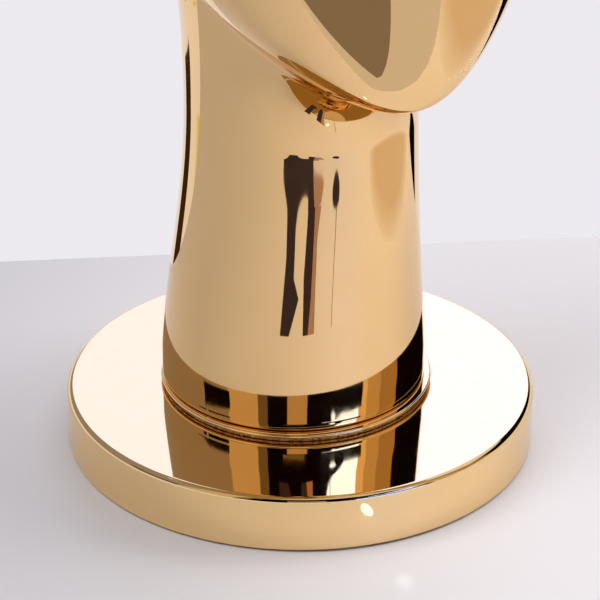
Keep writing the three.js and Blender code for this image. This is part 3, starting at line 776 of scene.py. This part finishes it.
def tabletop():
    """A plain pale tabletop, its far edge behind the base: smooth paper, with painted shade that makes it
    darker to the left.
    """
    material, tree, shader, place = new_material("paper_with_painted_shade")
    across = {"operation": "DOT_PRODUCT", 1: stage_point(1, PAINTED_SHADE_SLANT, 0)}
    way = node(tree, "ShaderNodeVectorMath", across, {0: place}).outputs["Value"]
    settings = {"From Min": PAINTED_SHADE_START, "From Max": PAINTED_SHADE_END}
    settings["interpolation_type"] = "SMOOTHSTEP"
    painted_shade = node(tree, "ShaderNodeMapRange", settings, {"Value": way}).outputs[0]
    # The tone runs from painted shade at the left to the paper's lit tone at the right
    tones = {"data_type": "RGBA", 6: linear("#CFCCD0"), 7: linear("#F3EEEE")}
    tone = node(tree, "ShaderNodeMix", tones, {0: painted_shade}).outputs[2]
    tree.links.new(tone, shader.inputs["Base Color"])
    shader.inputs["Roughness"].default_value = 0.6
    corners = [(-TABLE_SIDE, -TABLE_BACK), (TABLE_SIDE, -TABLE_BACK)]
    corners += [(TABLE_SIDE, TABLE_FRONT), (-TABLE_SIDE, TABLE_FRONT)]
    low = -TABLE_THICKNESS
    points = [stage_point(right, front, z) for z in (low, 0.0) for right, front in corners]
    faces = [[0, 1, 2, 3], [7, 6, 5, 4]] + [[i, i + 4, (i + 1) % 4 + 4, (i + 1) % 4] for i in range(4)]
    table = stage_object("tabletop", points, faces, material)
    pivot = stage_point(0, -TABLE_BACK, 0)
    turn = Matrix.Translation(pivot) @ Matrix.Rotation(TABLE_TURN, 4, "Z") @ Matrix.Translation(-pivot)
    table.data.transform(turn)
    rounding = table.modifiers.new("edge", "BEVEL")
    rounding.width = TABLE_EDGE_ROUND
    rounding.segments = TABLE_EDGE_STEPS


def card_material(name, tone, strength):
    material = bpy.data.materials.new(name)
    material.use_nodes = True
    tree = material.node_tree
    tree.nodes.clear()
    glow = node(tree, "ShaderNodeEmission", {"Color": linear(tone), "Strength": strength})
    node(tree, "ShaderNodeOutputMaterial", links={"Surface": glow.outputs[0]})
    return material


def reflected_only(card):
    """A studio card shows only in mirrors: it neither shades nor lights the rest."""
    for kind in ("camera", "diffuse", "transmission", "volume_scatter", "shadow"):
        setattr(card, "visible_" + kind, False)


FAR = 1500 * MM
BESIDE = 600 * MM
CLOSE = 400 * MM
CLOSEST = 395 * MM
CARD_STEP = 3
OVAL_SIDES = 20
BLACK = "#0A0606"
WHITE = "#7A9EFF"

# Cards round the table. A station is degrees right of the camera, then degrees above the base, from and to.
LOW_FLAG = [(11, 14, 27.2), (30, 14, 27.1), (32.5, 14, 26), (40, 14, 25.5), (58, 14, 25.5)]
HIGH_FLAG = [(-21, 27.4, 40), (24, 27.4, 40), (29, 27.4, 36), (35, 27.4, 33.5)]
HIGH_FLAG += [(42, 27.4, 29), (58, 27.4, 29)]
LOW_SPOT = [(30.5, 25.5, 25.6), (32.5, 25.1, 26), (34.5, 25.5, 25.6)]
HIGH_SPOT = [(29.8, 29.4, 29.7), (31, 28.8, 30.3), (33.5, 28.8, 30.3), (35, 29.3, 29.7)]
RING_CARDS = [
    ("brown_wall", "#939094", 1.0, FAR, [(-166, 14, 60), (-57, 14, 60)]),
    ("pale_wall", "#C6B8A4", 1.0, FAR, [(-57, 14, 60), (-30, 14, 60)]),
    ("olive_wall", "#6E6450", 1.0, FAR, [(-30, 14, 60), (-21, 14, 60)]),
    ("black_wall", BLACK, 1.0, FAR, [(-21, 14, 60), (25, 14, 60)]),
    ("black_lintel", BLACK, 1.0, FAR, [(25, 39, 60), (58, 39, 60)]),
    ("softbox_1", WHITE, 7.0, FAR, [(25, 14, 39), (58, 14, 39)]),
    ("gold_wall_1", "#E9DABE", 1.0, FAR, [(58, 14, 60), (66, 14, 60)]),
    ("gold_wall_2", "#C4B294", 1.0, FAR, [(66, 14, 60), (80, 14, 60)]),
    ("gold_wall_3", "#A8926E", 1.0, FAR, [(80, 14, 60), (100, 14, 60)]),
    ("black_flag", BLACK, 1.0, FAR, [(100, 14, 40), (157, 14, 40)]),
    ("softbox_2", "#BDC6FF", 2.7, FAR, [(160, 10, 60), (180, 10, 60)]),
    ("softbox_3", "#C5CDFF", 2.2, FAR, [(180, 10, 60), (200, 10, 60)]),
    ("left_streak", "#3A2412", 1.0, BESIDE, [(-147, -20, -8.8), (-132, -20, -8.8)]),
    ("gold_streak", "#DFD588", 1.0, BESIDE, [(-118, -12.5, -10.4), (-113.5, -12.5, -10.4)]),
    ("right_streak", BLACK, 1.0, BESIDE, [(124, -24, -8.3), (141, -24, -8.3)]),
    ("low_square", BLACK, 1.0, CLOSE, [(-78, 19, 25.4), (-53, 19, 25)]),
    ("high_square", BLACK, 1.0, CLOSE, [(-86, 27.2, 27.8), (-74, 27.2, 28.7), (-54, 27.2, 28.6)]),
    ("low_strip", BLACK, 1.0, CLOSE, [(-21, 14, 27.4), (-5, 14, 27.4)]),
    ("low_gap", "#B9A994", 1.0, CLOSE, [(-5, 14, 27.4), (11, 14, 27.4)]),
    ("low_flag", BLACK, 1.0, CLOSE, LOW_FLAG),
    ("high_flag", BLACK, 1.0, CLOSE, HIGH_FLAG),
    ("light_line", "#B9A994", 1.0, CLOSEST, [(-8.5, 27.9, 28.05), (9, 27.9, 28.05)]),
    ("low_spot", WHITE, 7.0, CLOSEST, LOW_SPOT),
    ("high_spot", WHITE, 7.0, CLOSEST, HIGH_SPOT),
]


def ring_card(name, tone, strength, distance, stations):
    azimuths, lows, highs = zip(*stations)
    turns = np.union1d(np.arange(azimuths[0], azimuths[-1], CARD_STEP), azimuths)
    points = []
    for turn in turns:
        for limits in (lows, highs):
            height = BASE_TOP + distance * math.tan(math.radians(np.interp(turn, azimuths, limits)))
            azimuth = math.radians(turn)
            points.append(stage_point(distance * math.sin(azimuth), distance * math.cos(azimuth), height))
    faces = [[2 * i, 2 * i + 1, 2 * i + 3, 2 * i + 2] for i in range(len(turns) - 1)]
    card = stage_object(name, points, faces, card_material(name, tone, strength))
    reflected_only(card)


def flat_card(name, tone, strength, outline, height):
    """A card lying level, its outline in millimetres to the right and in front."""
    points = [stage_point(right * MM, front * MM, height) for right, front in outline]
    card = stage_object(name, points, [list(range(len(points)))], card_material(name, tone, strength))
    reflected_only(card)


def upright_card(name, tone, outline, front):
    """A card that stands facing the camera, its outline in millimetres to the right and above the table."""
    points = [stage_point(right * MM, front, height * MM) for right, height in outline]
    card = stage_object(name, points, [list(range(len(points)))], card_material(name, tone, 1.0))
    reflected_only(card)


def oval(right, front, half_width, half_depth, sides=OVAL_SIDES):
    angles = [2 * math.pi * i / sides for i in range(sides)]
    return [(right + half_width * math.cos(a), front + half_depth * math.sin(a)) for a in angles]


def bend(start, pull, end, steps=8):
    """A curved stretch of an outline, drawn towards a point beside it."""
    t = np.linspace(0, 1, steps + 1)[:, None]
    curve = (1 - t) ** 2 * np.array(start) + 2 * t * (1 - t) * np.array(pull) + t * t * np.array(end)
    return curve.tolist()


# A stand's head lies on the table, and its stems and a lever on a thin rod stand close before the neck
STAND_DARK_TONE = "#3A3038"
# The paler tone is a painted highlight: the stand's sides that face the light, drawn as its dark tone lit
STAND_HIGHLIGHT_TONE = "#AB897F"
STAND_HEAD = [(-69, 362), (-20, 362)]
STAND_HEAD += bend((-14, 380), (14, 404), (47, 391))
STAND_HEAD += [(44, 362), (84, 362), (82, 432), (-104, 432)]
STAND_HEAD += bend((-114, 402), (-84, 392), (-70, 370))
STAND_SIDE = [(84, 362), (120, 362), (146, 378), (131, 390), (84, 408)]
LEVER = oval(207, 332, 24, 20)
STEM_FRONT = 80 * MM
LEFT_STEM = [(-11.5, 129), (-11.5, 107), (-15, 69), (-7.5, 69), (0, 87), (-4.5, 97), (-3.5, 129)]
RIGHT_STEM = [(7, 131), (13.3, 131), (10.5, 86), (8.2, 69), (4, 69), (4, 98)]
RIGHT_STEM_SIDE = [(19, 131), (15.5, 115), (13.6, 69), (8.2, 69), (10.5, 86), (13.3, 131)]
ROD = [(35.5, 127), (36.3, 127), (31.1, 69), (30.5, 69)]

# A painted pool of warm light that lies to the right, paler towards its edge
WARM_LIGHT_TONES = ["#F0EAE9", "#EDE5E2", "#EAE0DA", "#E8DCD4", "#E5D8CE"]
WARM_LIGHT_TONES += ["#E3D4C7", "#E0D0C1", "#DECCBA", "#DCC8B4"]
WARM_LIGHT_RIGHT = 400
WARM_LIGHT_FRONT = -20
WARM_LIGHT_HALF_WIDTH = 118
WARM_LIGHT_HALF_DEPTH = 200
WARM_LIGHT_FADE = 6
WARM_LIGHT_SIDES = 60

# A tray before the chin, on a paler sheet, and a glint beside them
TRAY = bend((-40, 182), (22, 132), (42, 102)) + bend((46, 102), (74, 114), (104, 182))
TRAY_SHEET = bend((-46, 182), (12, 136), (35, 98)) + bend((38, 96), (90, 66), (150, 122)) + [(104, 182)]
TRAY_HEIGHT = 200 * MM
GLINT = oval(46, 131, 3.5, 6, 16)

# The ceiling, with two dark hooks
CEILING_HEIGHT = 2.6
CEILING = oval(0, 0, 1450, 1450, 24)
CEILING_HOOK_1 = oval(100, 560, 60, 40, 12)
CEILING_HOOK_2 = oval(250, 512, 60, 40, 12)


def cards():
    for row in RING_CARDS:
        ring_card(*row)
    flat_card("stand_head", STAND_DARK_TONE, 1.0, STAND_HEAD, 1 * MM)
    upright_card("left_stem", STAND_DARK_TONE, LEFT_STEM, STEM_FRONT)
    upright_card("right_stem", STAND_DARK_TONE, RIGHT_STEM, STEM_FRONT)
    # These side faces carry the painted highlight tone
    upright_card("right_stem_side", STAND_HIGHLIGHT_TONE, RIGHT_STEM_SIDE, STEM_FRONT)
    flat_card("stand_side", STAND_HIGHLIGHT_TONE, 1.0, STAND_SIDE, 1.5 * MM)
    flat_card("lever", STAND_DARK_TONE, 1.0, LEVER, 1 * MM)
    upright_card("rod", "#8A6A5A", ROD, STEM_FRONT)
    # Rings of the painted pool of warm light, paler towards its edge
    for ring, tone in enumerate(WARM_LIGHT_TONES):
        fade = ring * WARM_LIGHT_FADE
        half_width, half_depth = WARM_LIGHT_HALF_WIDTH - fade, WARM_LIGHT_HALF_DEPTH - fade
        outline = oval(WARM_LIGHT_RIGHT, WARM_LIGHT_FRONT, half_width, half_depth, WARM_LIGHT_SIDES)
        flat_card(f"painted_warm_light_{ring}", tone, 1.0, outline, (1 + 0.1 * ring) * MM)
    flat_card("tray", "#867C74", 1.0, TRAY, TRAY_HEIGHT)
    flat_card("tray_sheet", "#D3CFD2", 1.0, TRAY_SHEET, TRAY_HEIGHT - MM)
    flat_card("glint", "#FFFFFF", 2.5, GLINT, 1.5 * MM)
    flat_card("ceiling", "#958155", 1.0, CEILING, CEILING_HEIGHT)
    flat_card("ceiling_hook_1", "#2A1C10", 1.0, CEILING_HOOK_1, CEILING_HEIGHT - MM)
    flat_card("ceiling_hook_2", "#2A1C10", 1.0, CEILING_HOOK_2, CEILING_HEIGHT - MM)


# Lamps, each aimed at the base: its place, its side in metres and its watts
LAMPS = [
    ("back_softbox", stage_point(0.5, -0.45, 1.3), 1.0, 6.8),
    ("front_softbox", stage_point(-0.65, 0.4, 1.05), 0.9, 8.2),
    ("right_softbox", stage_point(0.8, -0.1, 0.5), 0.5, 3.2),
]


def lamp(name, place, size, watts):
    light = bpy.data.lights.new(name, "AREA")
    light.shape = "SQUARE"
    light.size = size
    light.energy = watts
    made = bpy.data.objects.new(name, light)
    bpy.context.scene.collection.objects.link(made)
    made.location = place
    made.rotation_mode = "QUATERNION"
    made.rotation_quaternion = (-place).to_track_quat("-Z", "Y")
    made.visible_glossy = False


def world():
    """A pale backdrop for the camera and for mirrors, and a soft even fill for the rest."""
    sky = bpy.data.worlds.new("studio")
    bpy.context.scene.world = sky
    sky.use_nodes = True
    tree = sky.node_tree
    tree.nodes.clear()
    path = node(tree, "ShaderNodeLightPath").outputs
    seen_links = {0: path["Is Camera Ray"], 1: path["Is Glossy Ray"]}
    seen = node(tree, "ShaderNodeMath", {"operation": "MAXIMUM"}, seen_links)
    clear_links = {0: seen.outputs[0], 1: path["Is Transmission Ray"]}
    clear = node(tree, "ShaderNodeMath", {"operation": "MAXIMUM"}, clear_links)
    fill = node(tree, "ShaderNodeBackground", {"Color": linear("#F2F1F4"), "Strength": 0.2})
    drop = node(tree, "ShaderNodeBackground", {"Color": linear("#EDEAEF"), "Strength": 1.0})
    mix_links = {0: clear.outputs[0], 1: fill.outputs[0], 2: drop.outputs[0]}
    mix = node(tree, "ShaderNodeMixShader", links=mix_links)
    node(tree, "ShaderNodeOutputWorld", links={"Surface": mix.outputs[0]})


def camera():
    """The photo's camera: a long lens that looks down past the base's top face."""
    data = bpy.data.cameras.new("camera")
    data.sensor_width = SENSOR_WIDTH
    data.lens = SENSOR_WIDTH * PHOTO_FOCUS / PHOTO_SIDE
    made = bpy.data.objects.new("camera", data)
    bpy.context.scene.collection.objects.link(made)
    target = Vector((0, 0, BASE_TOP))
    level = stage_point(0, 1, 0)
    back = level * math.cos(VIEW_ELEVATION) + Vector((0, 0, math.sin(VIEW_ELEVATION)))
    side = stage_point(1, 0, 0)
    up = back.cross(side)
    across, down = (math.atan((c - PHOTO_SIDE / 2) / PHOTO_FOCUS) for c in PHOTO_BASE_CENTRE)
    aim = Matrix.Rotation(down, 3, side) @ Matrix.Rotation(across, 3, up)
    axes = [aim @ (side * math.cos(VIEW_ROLL) + up * math.sin(VIEW_ROLL))]
    axes += [aim @ (up * math.cos(VIEW_ROLL) - side * math.sin(VIEW_ROLL)), aim @ back]
    turn = Matrix(axes).transposed()
    made.matrix_world = Matrix.Translation(target + back * VIEW_DISTANCE) @ turn.to_4x4()
    bpy.context.scene.camera = made


camera()

STEEL_GOLD = gold_plated_steel()
RESIN_GOLD = gold_plated_resin()
base_cover(STEEL_GOLD)
neck_rim(STEEL_GOLD)
glide_ring(vulcanised_fibre())
base_pad(closed_cell_foam())
points, faces = skin_mesh()
front_shell = skin_half("head_front_skin", "head", points, faces, 1, RESIN_GOLD)
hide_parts("head_front_shell")
rear_shell = skin_half("head_rear_skin", "head", points, faces, -1, RESIN_GOLD)
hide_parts("head_rear_shell")
finish_inner_nodes()

tabletop()
cards()
for row in LAMPS:
    lamp(*row)
world()
bpy.context.scene.view_settings.view_transform = "Standard"
